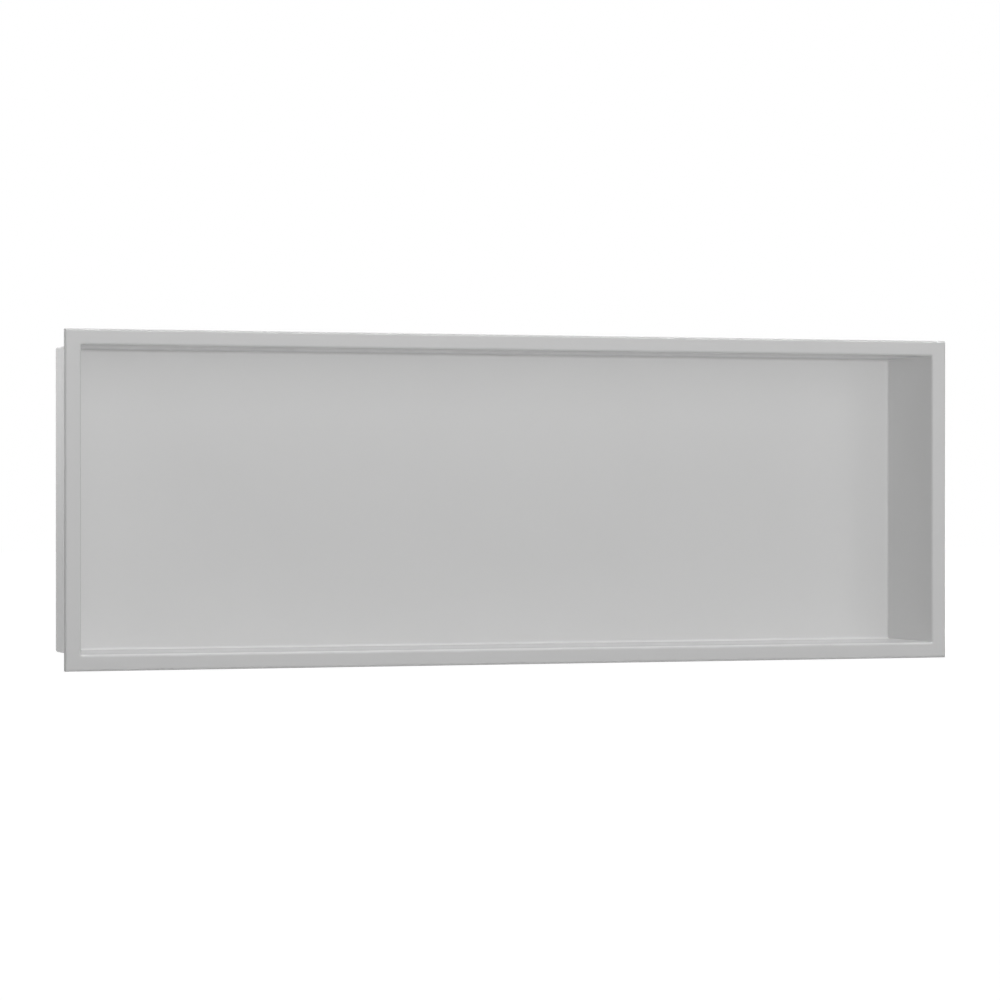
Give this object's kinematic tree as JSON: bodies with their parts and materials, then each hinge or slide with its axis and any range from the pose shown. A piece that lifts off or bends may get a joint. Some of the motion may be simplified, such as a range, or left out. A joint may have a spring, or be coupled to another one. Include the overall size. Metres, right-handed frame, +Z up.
{
  "type": "shower niche insert",
  "caption": "Long open-fronted wall niche, folded from painted steel sheet, with a flat border frame whose edge turns back to rest on the tiled wall; holds bottles in a shower.",
  "frame": {"origin": "centre of the opening, on the wall plane that the rim of the frame rests against", "axes": "+X along the niche to the viewer's right, +Y into the wall, +Z up; the open front faces -Y"},
  "size_m": [0.93, 0.1075, 0.328],
  "materials": {
    "painted_sheet": "satin neutral grey powder coat"
  },
  "bodies": {
    "root": {"niche_body": "painted_sheet"}
  },
  "joints": []
}
